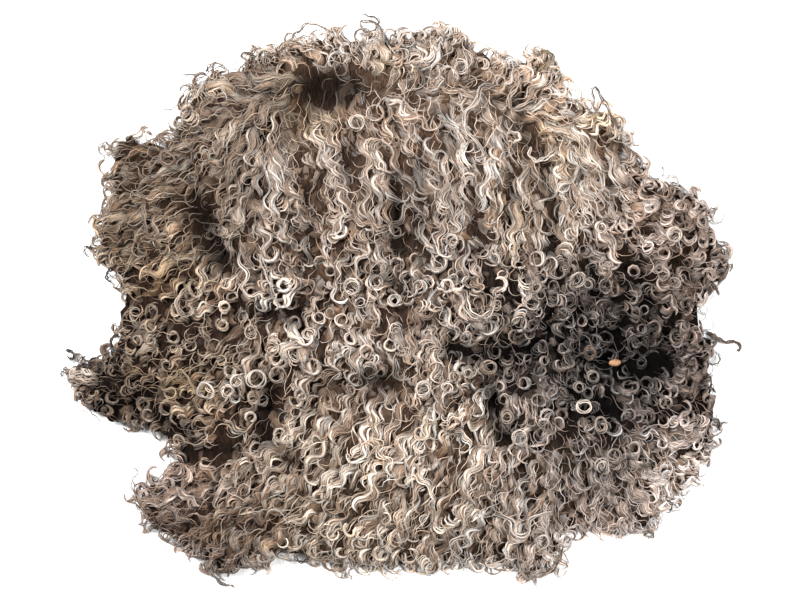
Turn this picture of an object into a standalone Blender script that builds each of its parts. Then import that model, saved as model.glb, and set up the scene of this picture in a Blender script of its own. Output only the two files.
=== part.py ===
"""A raw wool fleece, shorn in one piece and spread out on a flat surface with its locks upward.

The fleece is one natural piece, so it is one closed solid. Its underside is flat where it rests,
its sides are tucked in a little, and its top is an uneven crown with the partings between the
groups of locks. Units are metres, +Z is up, and the origin is the middle of the flat underside.
+Y points to the end where the longest locks are rooted.
"""

import math

import bmesh
import bpy
from mathutils import Vector
from mathutils.geometry import delaunay_2d_cdt

# Driving dimensions
FLEECE_LENGTH = 0.78
EDGE_STEP = 0.0145
TOP_STEP = 0.0120
CROWN_HEIGHT = 0.066
SHOULDER_HEIGHT = 0.021
SHOULDER_INSET = 0.006
BELLY_HEIGHT = 0.009
TUCK_INSET = 0.007
CROWN_REACH = 0.052
SMALLEST_FURROW_CLEARANCE = 0.016

# The edge, clockwise from the middle of the far side, as shares of the fleece's length
EDGE = [
    (0.000, 0.400), (0.062, 0.410), (0.092, 0.390), (0.128, 0.376), (0.166, 0.362), (0.186, 0.366),
    (0.206, 0.376), (0.226, 0.364), (0.238, 0.330), (0.258, 0.300), (0.302, 0.280), (0.328, 0.258),
    (0.348, 0.220), (0.368, 0.192), (0.400, 0.180), (0.444, 0.166), (0.468, 0.136), (0.476, 0.098),
    (0.494, 0.064), (0.488, 0.030), (0.462, 0.006), (0.450, -0.032), (0.462, -0.052), (0.480, -0.066),
    (0.470, -0.098), (0.466, -0.130), (0.477, -0.168), (0.472, -0.200), (0.461, -0.238),
    (0.442, -0.270), (0.416, -0.302), (0.390, -0.334), (0.368, -0.352), (0.322, -0.354),
    (0.276, -0.346), (0.250, -0.366), (0.236, -0.398), (0.212, -0.420), (0.180, -0.416),
    (0.158, -0.400), (0.104, -0.404), (0.040, -0.404), (0.000, -0.407), (-0.062, -0.406),
    (-0.128, -0.400), (-0.168, -0.391), (-0.206, -0.400), (-0.240, -0.408), (-0.274, -0.420),
    (-0.302, -0.402), (-0.320, -0.382), (-0.370, -0.358), (-0.404, -0.330), (-0.408, -0.301),
    (-0.396, -0.276), (-0.366, -0.260), (-0.352, -0.240), (-0.364, -0.218), (-0.398, -0.199),
    (-0.442, -0.192), (-0.470, -0.178), (-0.492, -0.148), (-0.506, -0.122), (-0.500, -0.096),
    (-0.468, -0.086), (-0.442, -0.070), (-0.440, -0.038), (-0.430, 0.000), (-0.442, 0.038),
    (-0.470, 0.078), (-0.467, 0.108), (-0.452, 0.140), (-0.448, 0.180), (-0.450, 0.212),
    (-0.440, 0.243), (-0.416, 0.256), (-0.386, 0.244), (-0.354, 0.244), (-0.344, 0.276),
    (-0.326, 0.314), (-0.296, 0.332), (-0.258, 0.346), (-0.230, 0.365), (-0.192, 0.378),
    (-0.160, 0.394), (-0.114, 0.404), (-0.062, 0.399),
]

# Partings and hollows: start, end, half width and depth, in metres
FURROWS = [
    ((0.060, -0.055), (0.170, -0.085), 0.024, 0.016),
    ((0.170, -0.085), (0.300, -0.105), 0.050, 0.020),
    ((0.100, -0.095), (0.118, -0.165), 0.019, 0.022),
    ((-0.150, -0.085), (-0.165, -0.190), 0.018, 0.020),
    ((-0.240, 0.095), (-0.195, 0.030), 0.024, 0.018),
    ((-0.195, -0.008), (-0.115, -0.018), 0.019, 0.014),
    ((-0.115, 0.240), (-0.070, 0.248), 0.024, 0.026),
    ((0.138, 0.225), (0.152, 0.090), 0.017, 0.014),
    ((0.188, 0.130), (0.186, 0.060), 0.017, 0.013),
    ((0.000, 0.125), (0.002, 0.055), 0.017, 0.013),
    ((0.042, 0.215), (0.040, 0.100), 0.016, 0.010),
    ((-0.105, 0.130), (-0.102, 0.050), 0.017, 0.011),
    ((0.262, 0.060), (0.285, 0.010), 0.022, 0.018),
    ((-0.370, -0.105), (-0.300, -0.100), 0.026, 0.012),
    ((-0.250, -0.172), (-0.180, -0.172), 0.017, 0.010),
    ((-0.100, -0.105), (-0.040, -0.085), 0.020, 0.010),
    ((0.050, -0.280), (0.070, -0.300), 0.018, 0.010),
]

# Fuller places, where locks lie over each other: start, end, half width and height, in metres
RIDGES = [
    ((-0.130, 0.190), (-0.135, 0.050), 0.032, 0.008),
    ((-0.050, 0.220), (-0.050, 0.060), 0.030, 0.007),
    ((0.080, 0.230), (0.092, 0.070), 0.034, 0.008),
    ((0.212, 0.170), (0.222, 0.060), 0.034, 0.011),
    ((-0.250, 0.165), (-0.300, 0.110), 0.040, 0.005),
    ((-0.250, -0.010), (-0.215, -0.020), 0.030, 0.007),
    ((-0.060, -0.050), (0.030, -0.030), 0.040, 0.006),
    ((-0.100, -0.240), (0.070, -0.190), 0.050, 0.008),
    ((0.150, -0.130), (0.170, -0.290), 0.030, 0.012),
    ((-0.225, -0.240), (-0.210, -0.280), 0.036, 0.005),
    ((0.320, 0.110), (0.345, 0.040), 0.032, 0.008),
    ((0.290, -0.190), (0.310, -0.230), 0.042, 0.006),
]

# Slow swells of the whole mat: direction in degrees, wavelength and height, in metres
SWELLS = [(20, 0.145, 0.0026), (82, 0.118, 0.0024), (140, 0.092, 0.0020), (55, 0.067, 0.0014)]

FLEECE_COLOUR = (0.30, 0.26, 0.22, 1)
FLEECE_ROUGHNESS = 0.75


def clear_scene():
    for obj in list(bpy.data.objects):
        bpy.data.objects.remove(obj)


def scaled_edge():
    """The edge's points in metres, with the middle of their extents at the origin."""
    points = [Vector(p) * FLEECE_LENGTH for p in EDGE]
    middle = Vector(
        [(min(p[axis] for p in points) + max(p[axis] for p in points)) / 2 for axis in (0, 1)]
    )
    return [p - middle for p in points]


def rounded_loop(points, step):
    """A closed Catmull-Rom curve through the points, with a point about every step."""
    dense = []
    for i in range(len(points)):
        a, b, c, d = (points[(i + k - 1) % len(points)] for k in range(4))
        for k in range(8):
            t = k / 8
            dense.append(
                0.5 * (2 * b + (c - a) * t + (2 * a - 5 * b + 4 * c - d) * t**2
                       + (3 * b - a - 3 * c + d) * t**3)
            )
    lengths = [(dense[(i + 1) % len(dense)] - p).length for i, p in enumerate(dense)]
    total = sum(lengths)
    count = round(total / step)
    loop, walked, i = [], 0.0, 0
    for k in range(count):
        target = total * k / count
        while walked + lengths[i] < target:
            walked += lengths[i]
            i += 1
        share = (target - walked) / lengths[i]
        loop.append(dense[i].lerp(dense[(i + 1) % len(dense)], share))
    return loop


def inset_loop(loop, distance):
    """The clockwise loop moved inward by a distance."""
    inset = []
    for i, point in enumerate(loop):
        along = (loop[(i + 1) % len(loop)] - loop[i - 1]).normalized()
        inset.append(point + Vector((along.y, -along.x)) * distance)
    return inset


def to_segment(point, start, end):
    """The distance from a point to the line between start and end."""
    along = end - start
    share = max(0.0, min(1.0, (point - start).dot(along) / along.length_squared))
    return (point - start - along * share).length


def to_loop(point, loop):
    return min(to_segment(point, loop[i - 1], loop[i]) for i in range(len(loop)))


def bell(distance, half_width):
    """1 on the line and 0 beyond twice the half width."""
    share = min(distance / (2 * half_width), 1.0)
    return (1 - share**2) ** 2


def top_height(point, loop):
    """The height of the top at a point: the crown, the swells, the ridges and the furrows."""
    inside = to_loop(point, loop)
    rise = 1 - math.exp(-inside / CROWN_REACH)
    height = SHOULDER_HEIGHT + (CROWN_HEIGHT - SHOULDER_HEIGHT) * rise
    for degrees, wavelength, size in SWELLS:
        turn = math.radians(degrees)
        along = point.x * math.cos(turn) + point.y * math.sin(turn)
        height += size * rise * math.sin(math.tau * along / wavelength + degrees)
    for start, end, half_width, size in RIDGES:
        height += size * rise * bell(to_segment(point, Vector(start), Vector(end)), half_width)
    for start, end, half_width, depth in FURROWS:
        height -= depth * rise * bell(to_segment(point, Vector(start), Vector(end)), half_width)
    return max(height, SMALLEST_FURROW_CLEARANCE)


def grid_inside(loop, step, margin):
    """Staggered points over the inside of the loop, at least margin from it."""
    low = Vector((min(p.x for p in loop), min(p.y for p in loop)))
    high = Vector((max(p.x for p in loop), max(p.y for p in loop)))
    row_step = step * math.sqrt(3) / 2
    found = []
    for row in range(int((high.y - low.y) / row_step) + 1):
        start = low.x + (row % 2) * step / 2
        for column in range(int((high.x - start) / step) + 1):
            point = Vector((start + column * step, low.y + row * row_step))
            if is_inside(point, loop) and to_loop(point, loop) > margin:
                found.append(point)
    return found


def is_inside(point, loop):
    crossings = 0
    for i, b in enumerate(loop):
        a = loop[i - 1]
        if (a.y > point.y) != (b.y > point.y):
            crossings += point.x < a.x + (b.x - a.x) * (point.y - a.y) / (b.y - a.y)
    return crossings % 2 == 1


def ring_of(bm, loop, height):
    return [bm.verts.new((p.x, p.y, height)) for p in loop]


def join_rings(bm, lower, upper):
    for i in range(len(lower)):
        bm.faces.new((lower[i - 1], upper[i - 1], upper[i], lower[i]))


def wool_material():
    material = bpy.data.materials.new("raw_wool")
    material.use_nodes = True
    shader = material.node_tree.nodes["Principled BSDF"]
    shader.inputs["Base Color"].default_value = FLEECE_COLOUR
    shader.inputs["Roughness"].default_value = FLEECE_ROUGHNESS
    shader.inputs["Metallic"].default_value = 0.0
    return material


def build_fleece():
    edge = rounded_loop(scaled_edge(), EDGE_STEP)
    shoulder = inset_loop(edge, SHOULDER_INSET)
    foot = inset_loop(edge, TUCK_INSET)

    bm = bmesh.new()
    foot_ring = ring_of(bm, foot, 0.0)
    belly_ring = ring_of(bm, edge, BELLY_HEIGHT)
    shoulder_ring = ring_of(bm, shoulder, SHOULDER_HEIGHT)
    bm.faces.new(foot_ring)
    join_rings(bm, foot_ring, belly_ring)
    join_rings(bm, belly_ring, shoulder_ring)

    # The top is a triangle net over a staggered grid, with the shoulder as its rim
    inner = grid_inside(shoulder, TOP_STEP, TOP_STEP * 0.6)
    rim = len(shoulder)
    rim_edges = [(i, (i + 1) % rim) for i in range(rim)]
    triangles = delaunay_2d_cdt(shoulder + inner, rim_edges, [], 1, 1e-6)[2]
    net = shoulder_ring + [bm.verts.new((p.x, p.y, top_height(p, shoulder))) for p in inner]
    for triangle in triangles:
        bm.faces.new([net[i] for i in triangle])
    bmesh.ops.recalc_face_normals(bm, faces=bm.faces)

    mesh = bpy.data.meshes.new("fleece")
    bm.to_mesh(mesh)
    bm.free()
    mesh.materials.append(wool_material())
    mesh.shade_smooth()
    fleece = bpy.data.objects.new("fleece", mesh)
    bpy.context.scene.collection.objects.link(fleece)
    return fleece


clear_scene()
build_fleece()
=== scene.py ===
# A raw wool fleece, laid out flat with its curls up: under-wool, locks, ringlets, edge curls and
# loose fibres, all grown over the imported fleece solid. Metres, +Z up, +Y to where the long locks root.
import math

import bmesh
import bpy
import numpy as np
from mathutils import Matrix, Vector
from mathutils.bvhtree import BVHTree
from mathutils.kdtree import KDTree


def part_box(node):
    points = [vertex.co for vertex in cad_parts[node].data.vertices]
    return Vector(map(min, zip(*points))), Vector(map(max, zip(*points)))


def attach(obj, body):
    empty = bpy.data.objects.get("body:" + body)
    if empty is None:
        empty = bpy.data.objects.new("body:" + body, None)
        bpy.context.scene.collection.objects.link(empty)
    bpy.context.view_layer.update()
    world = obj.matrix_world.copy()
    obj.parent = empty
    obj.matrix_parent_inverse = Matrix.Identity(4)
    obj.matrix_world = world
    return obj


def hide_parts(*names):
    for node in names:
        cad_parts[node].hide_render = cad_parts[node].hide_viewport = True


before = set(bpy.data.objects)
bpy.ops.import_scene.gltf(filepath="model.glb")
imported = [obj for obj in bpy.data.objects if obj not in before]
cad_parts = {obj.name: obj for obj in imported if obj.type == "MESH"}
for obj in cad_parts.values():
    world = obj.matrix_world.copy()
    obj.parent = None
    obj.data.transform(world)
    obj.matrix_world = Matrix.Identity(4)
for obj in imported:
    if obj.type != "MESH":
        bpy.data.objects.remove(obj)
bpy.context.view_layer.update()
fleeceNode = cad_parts["fleece"]
wool = np.random.default_rng(41)


def tone(red, green, blue):  # a colour as it looks on a screen, as the shader's linear numbers
    return np.array([((c + 0.055) / 1.055) ** 2.4 for c in (red, green, blue)])


# where the comb runs: place and the way the tips point, in degrees from +X
combing = [
    (-0.080, 0.300, 115), (0.000, 0.310, 95), (0.060, 0.305, 80), (0.135, 0.285, 70), (0.185, 0.265, 55),
    (-0.180, 0.270, 130), (-0.235, 0.240, 145), (-0.285, 0.185, 165), (-0.345, 0.185, 175),
    (-0.340, 0.110, 185), (-0.250, 0.130, 215), (-0.310, 0.050, 195), (-0.190, 0.180, 240),
    (-0.130, 0.210, -80), (-0.100, 0.150, -72), (-0.050, 0.200, -78), (0.000, 0.150, -86),
    (0.080, 0.200, -92), (0.080, 0.100, -90), (0.150, 0.180, -94), (0.200, 0.120, -92),
    (-0.140, 0.060, -72), (-0.060, 0.060, -82), (0.020, 0.060, -88), (0.150, 0.050, -95),
    (0.245, 0.130, -62), (0.300, 0.110, -35), (0.345, 0.070, 0), (0.300, 0.020, -30), (0.360, 0.020, 5),
    (-0.200, 0.000, 225), (-0.100, 0.000, -95), (0.000, 0.000, -90), (0.080, -0.010, -75),
    (-0.150, -0.050, -115), (0.350, -0.060, 0), (0.350, -0.120, -5), (0.340, -0.180, -20),
    (0.300, -0.230, -50), (0.220, -0.180, -65), (0.250, -0.250, -80), (0.180, -0.270, -95),
    (0.160, -0.180, -104), (0.000, -0.120, -120), (0.060, -0.200, -122), (-0.050, -0.200, -131),
    (0.090, -0.280, -114), (-0.100, -0.290, -124), (-0.200, -0.200, -150), (-0.250, -0.250, -155),
    (-0.200, -0.300, -125), (-0.290, -0.230, 175), (-0.240, -0.080, 190), (-0.300, -0.040, 180),
    (-0.340, -0.020, 165), (-0.370, -0.100, 182), (-0.300, -0.140, 200), (0.020, -0.290, -114),
]

# patches of wool that differ: place and reach, colour of the pale and the dark fibres, how the locks
# lie there (swing of a wave in degrees, its length, the radius and turns of the ring at a tip, the
# length of a lock) and how much of each kind of wool grows there, from 0 to 1
patches = [
    {"at": (-0.020, 0.290), "reach": 0.055, "pale": (0.86, 0.79, 0.73), "deep": (0.42, 0.37, 0.33),
     "swing": 55, "wave": 0.034, "curl": 0.0090, "turns": 0.8, "length": 0.070, "few": 1.2, "fine": 0.90,
     "tress": 0.9, "curls": 0.6, "rings": 0.05, "fuzz": 0.7},
    {"at": (0.130, 0.260), "reach": 0.050, "pale": (0.88, 0.8, 0.73), "deep": (0.4, 0.35, 0.31),
     "swing": 52, "wave": 0.034, "curl": 0.0090, "turns": 0.7, "length": 0.070, "few": 1.0, "fine": 1.00,
     "tress": 0.9, "curls": 0.5, "rings": 0.05, "fuzz": 0.6},
    {"at": (-0.170, 0.220), "reach": 0.055, "pale": (0.60, 0.53, 0.46), "deep": (0.26, 0.22, 0.20),
     "swing": 36, "wave": 0.044, "curl": 0.0094, "turns": 0.5, "length": 0.080, "few": 1.2, "fine": 0.70,
     "tress": 0.9, "curls": 0.3, "rings": 0.02, "fuzz": 1.0},
    {"at": (-0.290, 0.120), "reach": 0.075, "pale": (0.64, 0.56, 0.48), "deep": (0.28, 0.24, 0.21),
     "swing": 44, "wave": 0.034, "curl": 0.0086, "turns": 0.45, "length": 0.065, "few": 1.2, "fine": 0.75,
     "tress": 0.9, "curls": 0.4, "rings": 0.03, "fuzz": 1.0},
    {"at": (-0.090, 0.140), "reach": 0.060, "pale": (0.88, 0.80, 0.73), "deep": (0.36, 0.31, 0.28),
     "swing": 56, "wave": 0.040, "curl": 0.0097, "turns": 0.45, "length": 0.110, "few": 1.2, "fine": 1.00,
     "tress": 1.0, "curls": 0.15, "rings": 0.04, "fuzz": 0.3},
    {"at": (0.040, 0.160), "reach": 0.065, "pale": (0.93, 0.85, 0.78), "deep": (0.38, 0.33, 0.3),
     "swing": 46, "wave": 0.05, "curl": 0.0097, "turns": 0.3, "length": 0.120, "few": 1.2, "fine": 1.00,
     "tress": 1.0, "curls": 0.12, "rings": 0.02, "fuzz": 0.5},
    {"at": (0.160, 0.150), "reach": 0.065, "pale": (0.94, 0.87, 0.8), "deep": (0.41, 0.36, 0.325),
     "swing": 50, "wave": 0.046, "curl": 0.0097, "turns": 0.45, "length": 0.110, "few": 1.1, "fine": 1.00,
     "tress": 1.0, "curls": 0.2, "rings": 0.05, "fuzz": 0.4},
    {"at": (0.310, 0.070), "reach": 0.060, "pale": (0.8, 0.71, 0.65), "deep": (0.24, 0.2, 0.17),
     "swing": 60, "wave": 0.030, "curl": 0.0084, "turns": 1.1, "length": 0.060, "few": 1.2, "fine": 1.00,
     "tress": 1.0, "curls": 1.0, "rings": 0.1, "fuzz": 0.6},
    {"at": (-0.080, -0.010), "reach": 0.075, "pale": (0.87, 0.79, 0.72), "deep": (0.34, 0.29, 0.26),
     "swing": 64, "wave": 0.031, "curl": 0.0086, "turns": 1.1, "length": 0.070, "few": 1.45, "fine": 1.00,
     "tress": 0.7, "curls": 0.8, "rings": 0.22, "fuzz": 0.1},
    {"at": (0.080, 0.010), "reach": 0.060, "pale": (0.88, 0.8, 0.73), "deep": (0.29, 0.25, 0.23),
     "swing": 64, "wave": 0.030, "curl": 0.0084, "turns": 1.2, "length": 0.060, "few": 1.3, "fine": 1.00,
     "tress": 0.6, "curls": 0.8, "rings": 0.34, "fuzz": 0.1},
    {"at": (0.190, -0.060), "reach": 0.065, "pale": (0.57, 0.51, 0.475), "deep": (0.045, 0.04, 0.04),
     "swing": 62, "wave": 0.026, "curl": 0.0079, "turns": 1.2, "length": 0.045, "few": 2.2, "fine": 1.00,
     "tress": 0.5, "curls": 1.0, "rings": 0.75, "fuzz": 0.1},
    {"at": (0.270, -0.070), "reach": 0.055, "pale": (0.3, 0.27, 0.25), "deep": (0.04, 0.035, 0.035),
     "swing": 58, "wave": 0.024, "curl": 0.0075, "turns": 1.0, "length": 0.040, "few": 2.6, "fine": 1.00,
     "tress": 0.6, "curls": 1.0, "rings": 0.7, "fuzz": 0.3},
    {"at": (0.350, -0.090), "reach": 0.045, "pale": (0.54, 0.46, 0.41), "deep": (0.14, 0.11, 0.10),
     "swing": 58, "wave": 0.024, "curl": 0.0075, "turns": 1.0, "length": 0.045, "few": 1.6, "fine": 1.00,
     "tress": 0.8, "curls": 1.0, "rings": 0.2, "fuzz": 0.7},
    {"at": (0.240, -0.210), "reach": 0.080, "pale": (0.92, 0.85, 0.8), "deep": (0.30, 0.26, 0.24),
     "swing": 44, "wave": 0.030, "curl": 0.0081, "turns": 0.45, "length": 0.065, "few": 1.15, "fine": 0.80,
     "tress": 1.0, "curls": 0.5, "rings": 0.03, "fuzz": 1.0},
    {"at": (0.030, -0.180), "reach": 0.085, "pale": (0.93, 0.85, 0.77), "deep": (0.36, 0.31, 0.28),
     "swing": 54, "wave": 0.036, "curl": 0.0088, "turns": 0.55, "length": 0.090, "few": 1.2, "fine": 1.00,
     "tress": 1.0, "curls": 0.3, "rings": 0.05, "fuzz": 0.4},
    {"at": (-0.090, -0.230), "reach": 0.070, "pale": (0.93, 0.85, 0.76), "deep": (0.36, 0.31, 0.27),
     "swing": 54, "wave": 0.034, "curl": 0.0084, "turns": 0.6, "length": 0.080, "few": 1.1, "fine": 1.00,
     "tress": 1.0, "curls": 0.35, "rings": 0.06, "fuzz": 0.4},
    {"at": (-0.230, -0.240), "reach": 0.065, "pale": (0.68, 0.59, 0.53), "deep": (0.28, 0.24, 0.22),
     "swing": 46, "wave": 0.032, "curl": 0.0079, "turns": 0.5, "length": 0.060, "few": 1.2, "fine": 0.75,
     "tress": 0.9, "curls": 0.5, "rings": 0.03, "fuzz": 1.0},
    {"at": (-0.200, -0.110), "reach": 0.060, "pale": (0.78, 0.69, 0.60), "deep": (0.24, 0.20, 0.18),
     "swing": 58, "wave": 0.028, "curl": 0.0077, "turns": 1.0, "length": 0.060, "few": 1.2, "fine": 1.00,
     "tress": 0.7, "curls": 0.9, "rings": 0.15, "fuzz": 0.4},
    {"at": (-0.270, -0.030), "reach": 0.060, "pale": (0.70, 0.61, 0.52), "deep": (0.22, 0.18, 0.16),
     "swing": 56, "wave": 0.026, "curl": 0.0073, "turns": 1.1, "length": 0.050, "few": 1.4, "fine": 1.00,
     "tress": 0.6, "curls": 1.0, "rings": 0.08, "fuzz": 0.4},
    {"at": (-0.340, -0.100), "reach": 0.045, "pale": (0.5, 0.41, 0.34), "deep": (0.09, 0.07, 0.06),
     "swing": 56, "wave": 0.020, "curl": 0.0064, "turns": 1.1, "length": 0.042, "few": 1.5, "fine": 1.00,
     "tress": 0.6, "curls": 1.0, "rings": 0.15, "fuzz": 0.6},
]


def neighbours(grid):  # the grid shifted by one cell each way
    return [np.roll(grid, shift, axis) for axis in (0, 1) for shift in (1, -1)]


def mapSolid(step=0.0025, margin=0.05, above=0.2, lowest=0.0005, softening=12):
    # height of the solid, softened at its rim, and distance in from its edge, on a grid
    low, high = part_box("fleece")
    xs = np.arange(low[0] - margin, high[0] + margin, step)
    ys = np.arange(low[1] - margin, high[1] + margin, step)
    tree = BVHTree.FromObject(fleeceNode, bpy.context.evaluated_depsgraph_get())
    height = np.zeros((len(ys), len(xs)))
    for row, y in enumerate(ys):
        for column, x in enumerate(xs):
            hit = tree.ray_cast((x, y, above), (0, 0, -1))[0]
            height[row, column] = hit.z if hit else 0.0
    inside = height > lowest
    rim = inside & ~np.logical_and.reduce(neighbours(inside))
    rows, columns = np.nonzero(rim)
    nearRim = KDTree(len(rows))
    for i, (row, column) in enumerate(zip(rows, columns)):
        nearRim.insert((xs[column], ys[row], 0), i)
    nearRim.balance()
    inward = np.zeros_like(height)
    for row, y in enumerate(ys):
        for column, x in enumerate(xs):
            away = nearRim.find((x, y, 0))[2]
            inward[row, column] = away if inside[row, column] else -away
    soft = height
    for turn in range(softening):  # averaging takes the corners off the drop at the rim
        soft = sum(neighbours(soft), soft) / 5
    return {"xs": xs, "ys": ys, "step": step, "soft": soft, "inward": inward}


def lookUp(field, x, y):  # bilinear reading of one of the solid's maps
    column = np.clip((x - solid["xs"][0]) / solid["step"], 0, len(solid["xs"]) - 1.001)
    row = np.clip((y - solid["ys"][0]) / solid["step"], 0, len(solid["ys"]) - 1.001)
    c, r = column.astype(int), row.astype(int)
    u, v = column - c, row - r
    grid = solid[field]
    upper = grid[r + 1, c] * (1 - u) + grid[r + 1, c + 1] * u
    return (grid[r, c] * (1 - u) + grid[r, c + 1] * u) * (1 - v) + upper * v


def nearness(x, y, placeX, placeY, reach):  # 1 at the place, falling off softly over its reach
    return np.exp(-((x - placeX) ** 2 + (y - placeY) ** 2) / (2 * reach**2))


def combAngle(x, y, reach=0.042):  # which way the tips point, in radians
    total = np.zeros(x.shape + (2,))
    for placeX, placeY, degrees in combing:
        pull = nearness(x, y, placeX, placeY, reach) + 1e-7
        total[..., 0] += pull * math.cos(math.radians(degrees))
        total[..., 1] += pull * math.sin(math.radians(degrees))
    return np.arctan2(total[..., 1], total[..., 0])


# partings and hollows where little wool grows: start, end, half width in metres, and how bare, 0 to 1
partings = [
    (-0.096, 0.250, -0.062, 0.248, 0.0220, 1.0), (-0.120, 0.246, -0.105, 0.246, 0.009, 0.6),
    (0.050, 0.215, 0.058, 0.180, 0.008, 0.6), (-0.005, 0.150, -0.002, 0.060, 0.007, 0.8),
    (-0.052, 0.200, -0.062, 0.150, 0.007, 0.7), (0.085, 0.130, 0.090, 0.060, 0.007, 0.6),
    (0.132, 0.240, 0.150, 0.180, 0.008, 0.7), (0.178, 0.120, 0.176, 0.060, 0.008, 0.8),
    (-0.105, 0.130, -0.102, 0.050, 0.007, 0.6), (0.122, 0.150, 0.126, 0.100, 0.006, 0.7),
    (-0.232, 0.108, -0.208, 0.048, 0.014, 0.9), (-0.195, -0.005, -0.115, -0.018, 0.008, 0.8),
    (0.060, -0.055, 0.110, -0.066, 0.010, 1.0), (0.100, -0.066, 0.170, -0.050, 0.009, 0.6),
    (0.104, -0.100, 0.122, -0.155, 0.010, 1.0), (-0.150, -0.090, -0.160, -0.165, 0.009, 0.9),
    (-0.150, -0.165, -0.110, -0.190, 0.007, 0.6), (0.200, -0.110, 0.240, -0.130, 0.014, 0.8),
    (0.225, -0.065, 0.300, -0.080, 0.018, 0.5), (-0.250, -0.175, -0.190, -0.172, 0.008, 0.8),
    (0.272, 0.046, 0.290, 0.005, 0.010, 0.7), (-0.120, -0.105, -0.060, -0.090, 0.008, 0.5),
    (-0.345, -0.115, -0.300, -0.105, 0.010, 0.6), (-0.280, -0.130, -0.250, -0.150, 0.010, 0.8),
    (0.140, -0.180, 0.150, -0.250, 0.007, 0.5), (0.215, 0.060, 0.225, 0.010, 0.008, 0.6),
    (-0.036, -0.086, -0.012, -0.092, 0.010, 0.8), (-0.030, 0.030, 0.000, 0.015, 0.007, 0.6),
    (-0.055, 0.045, -0.040, 0.040, 0.006, 0.6), (0.022, 0.165, 0.020, 0.070, 0.007, 0.6),
    (-0.160, 0.150, -0.172, 0.080, 0.007, 0.5), (0.168, 0.170, 0.164, 0.125, 0.007, 0.6),
]


def bareness(x, y):  # from 0 to 1
    bare = np.zeros(np.shape(x))
    for startX, startY, endX, endY, half, strength in partings:
        alongX, alongY = endX - startX, endY - startY
        share = np.clip(((x - startX) * alongX + (y - startY) * alongY) / (alongX**2 + alongY**2), 0, 1)
        away = np.hypot(x - startX - share * alongX, y - startY - share * alongY)
        bare = np.maximum(bare, strength * np.clip(1.6 - away / half, 0, 1))
    return bare


# places where grease and dirt have turned the wool browner: place, reach and how strongly
stains = [
    (-0.120, 0.245, 0.020, 1.0), (-0.110, 0.215, 0.022, 0.9), (-0.275, 0.025, 0.028, 0.9),
    (-0.255, -0.100, 0.028, 0.9), (-0.080, 0.215, 0.018, 0.8), (-0.320, -0.095, 0.026, 0.8),
    (-0.220, -0.265, 0.022, 0.8), (-0.015, 0.270, 0.020, 0.7), (-0.340, 0.070, 0.026, 0.7),
    (0.170, 0.190, 0.026, 0.6), (0.236, 0.215, 0.018, 0.8), (0.130, 0.100, 0.020, 0.4),
]
stainTakes = (0.05, 0.11, 0.26)  # how much red, green and blue a full stain takes away

# places where the wool is paler or darker than its patch: place, reach and how much
toneSpots = [
    (-0.112, 0.280, 0.030, 0.6), (-0.212, 0.235, 0.028, 0.6), (0.180, 0.245, 0.034, 0.40),
    (0.262, 0.050, 0.024, 0.5), (0.345, -0.045, 0.026, 0.5), (0.345, -0.140, 0.034, 0.8),
    (0.318, -0.232, 0.028, 0.7), (0.210, -0.285, 0.036, 0.6), (0.230, -0.185, 0.038, -0.50),
    (0.020, 0.110, 0.034, -0.30), (0.018, 0.050, 0.024, -0.20), (-0.205, 0.002, 0.022, 0.6),
    (-0.024, -0.092, 0.018, -0.50), (-0.036, -0.036, 0.026, 0.25), (-0.225, -0.165, 0.034, 0.4),
    (-0.165, -0.185, 0.022, -0.25), (-0.255, 0.090, 0.020, 0.4), (0.215, -0.135, 0.018, 0.4),
]


def toneSpotFactor(x, y):  # what the tone is multiplied by
    factor = np.ones(np.shape(x))
    for placeX, placeY, reach, strong in toneSpots:
        factor = factor + strong * nearness(x, y, placeX, placeY, reach)
    return np.clip(factor, 0.4, 1.9)


def stainHue(x, y):  # what red, green and blue are multiplied by
    strength = np.zeros(np.shape(x))
    for placeX, placeY, reach, strong in stains:
        strength = np.maximum(strength, strong * nearness(x, y, placeX, placeY, reach))
    return 1 - strength[..., None] * np.array(stainTakes)


def patchValue(key, x, y, sharp=1.0):  # a patch setting, blended by how near each patch is
    total, weight = 0.0, 0.0
    for patch in patches:
        pull = nearness(x, y, *patch["at"], patch["reach"] / sharp) + 1e-9
        value = patch[key]
        if key in ("pale", "deep"):  # these two are colours
            value, pull = tone(*value), pull[..., None]
        total = total + pull * value
        weight = weight + pull
    return total / weight


solid = mapSolid()
print("solid mapped", solid["soft"].shape)


def scatter(spacing, inset, keep=None, shake=0.42):
    # staggered, shaken places over the fleece, inset from its edge
    low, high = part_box("fleece")
    rowGap = 0.866  # rows of even triangles
    columns = int((high[0] - low[0]) / spacing) + 2
    rows = int((high[1] - low[1]) / (spacing * rowGap)) + 2
    column, row = np.meshgrid(np.arange(columns), np.arange(rows))
    x = low[0] + (column + 0.5 * (row % 2)) * spacing
    y = low[1] + row * spacing * rowGap
    x = (x + wool.uniform(-shake, shake, x.shape) * spacing).ravel()
    y = (y + wool.uniform(-shake, shake, y.shape) * spacing).ravel()
    good = lookUp("inward", x, y) > inset
    if keep is not None:
        good &= wool.uniform(0, 1, x.shape) < keep(x, y)
    return x[good], y[good]


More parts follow.
